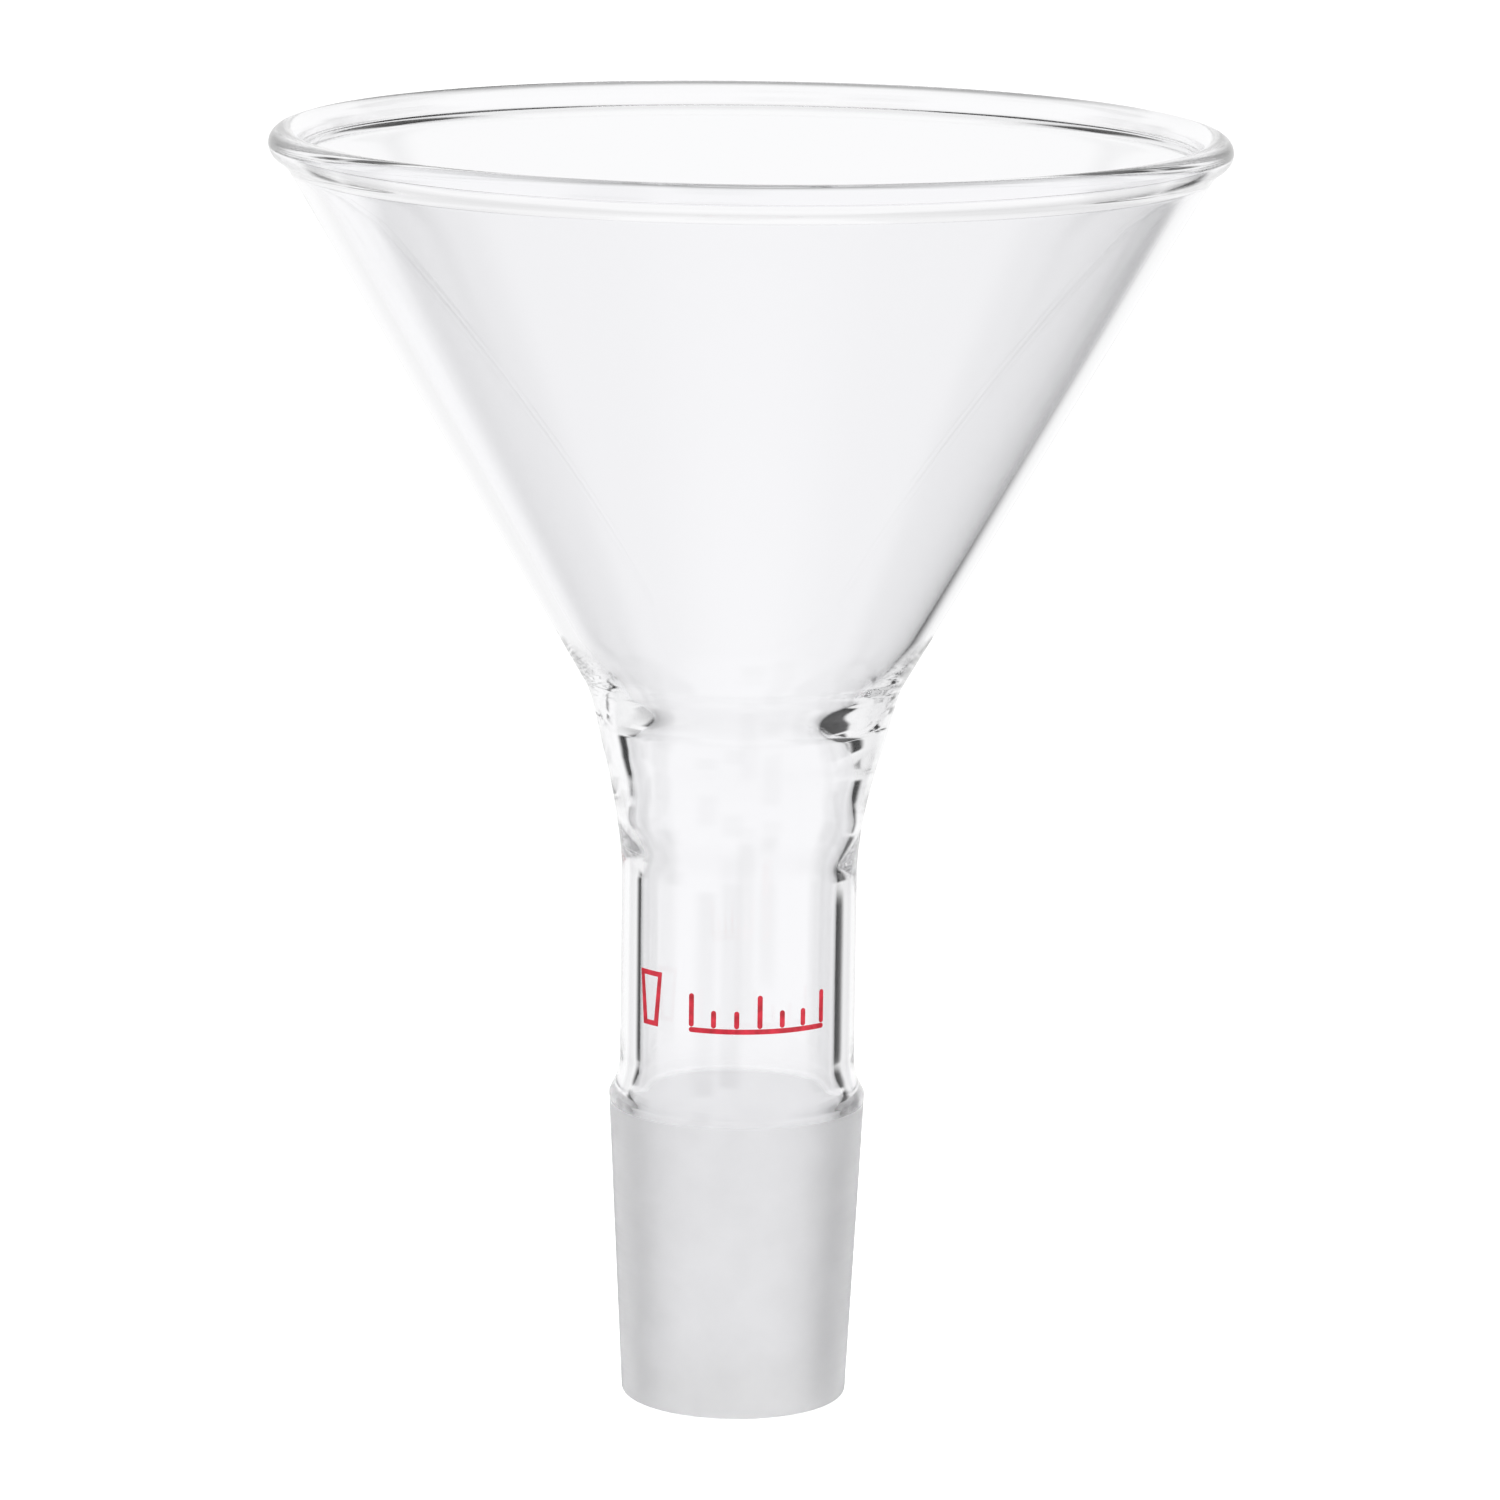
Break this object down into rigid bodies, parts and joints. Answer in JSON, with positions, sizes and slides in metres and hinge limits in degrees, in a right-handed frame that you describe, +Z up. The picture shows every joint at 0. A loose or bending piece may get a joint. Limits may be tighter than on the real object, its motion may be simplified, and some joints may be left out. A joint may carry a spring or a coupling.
{
  "type": "powder funnel with ground joint",
  "caption": "Clear glass powder funnel: a 60 degree cone with a beaded rim on a short tubular stem that ends in a ground standard taper cone joint.",
  "frame": {"origin": "centre of the ground joint's lower end face, on the funnel's axis", "axes": "+Z up along the funnel's axis towards its mouth; -Y is the side that carries the enamel size mark; +X to the right of that side"},
  "size_m": [0.0882, 0.0882, 0.1196],
  "materials": {
    "clear_glass": "clear fire-polished borosilicate glass",
    "ground_glass": "fine ground glass, matt white",
    "red_enamel": "opaque fired enamel, satin red"
  },
  "bodies": {
    "root": {"rim_bead": "clear_glass", "funnel_cone": "clear_glass", "neck_seal": "clear_glass", "flared_neck": "clear_glass", "stem_tube": "clear_glass", "joint_shoulder": "clear_glass", "ground_cone": "ground_glass", "taper_mark": "red_enamel", "scale_line": "red_enamel", "scale_tick_1": "red_enamel", "scale_tick_2": "red_enamel", "scale_tick_3": "red_enamel", "scale_tick_4": "red_enamel", "scale_tick_5": "red_enamel", "scale_tick_6": "red_enamel", "scale_tick_7": "red_enamel"}
  },
  "joints": []
}
